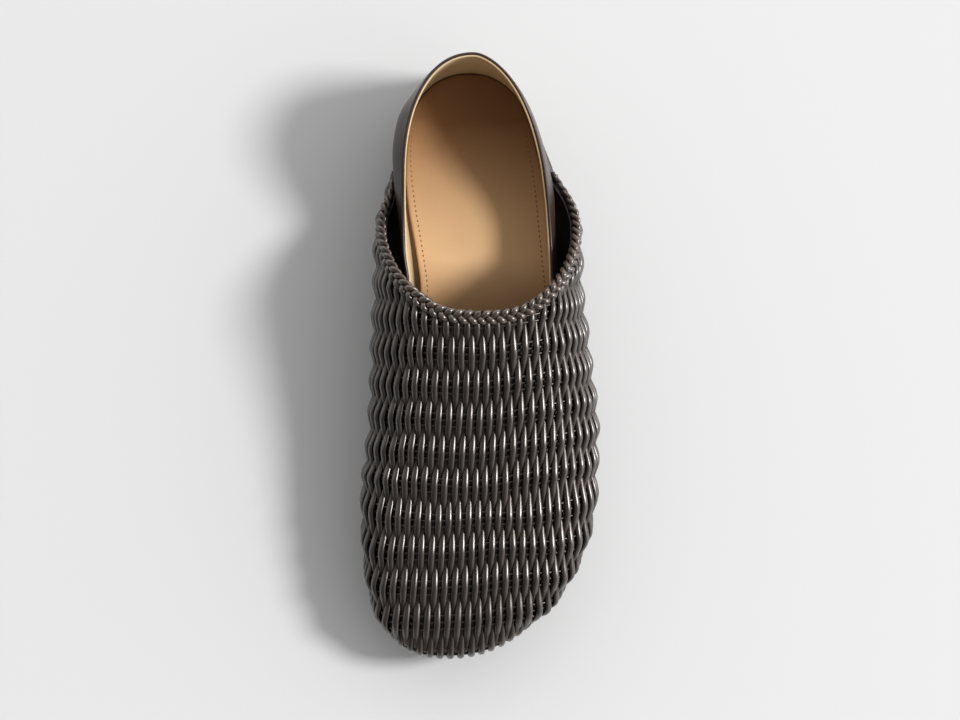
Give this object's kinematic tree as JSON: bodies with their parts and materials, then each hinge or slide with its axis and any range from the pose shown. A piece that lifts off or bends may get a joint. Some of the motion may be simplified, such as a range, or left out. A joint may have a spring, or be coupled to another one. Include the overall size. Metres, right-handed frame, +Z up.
{
  "type": "woven leather mule",
  "caption": "Left shoe with a forefoot woven from leather cord, a plaited throat edge, a low lined heel quarter, a tan insole and a thin sole on a low heel.",
  "frame": {"origin": "bottom centre of the shoe's box, on the floor", "axes": "-Y towards the toe, +Y towards the heel, -X the medial (big toe) side, +Z up"},
  "size_m": [0.1147, 0.2866, 0.0727],
  "materials": {
    "outsole": "dark brown sole leather, burnished edge",
    "heel_block": "dark brown stacked leather",
    "insole": "smooth tan leather",
    "woven_vamp": "glossy dark brown leather cord",
    "braid_collar": "glossy dark brown leather cord, plaited",
    "heel_quarter": "smooth dark brown leather with a tan lining"
  },
  "bodies": {
    "root": {"outsole": "outsole", "heel_block": "heel_block", "insole": "insole", "woven_vamp": "woven_vamp", "braid_collar": "braid_collar", "heel_quarter": "heel_quarter"}
  },
  "joints": []
}
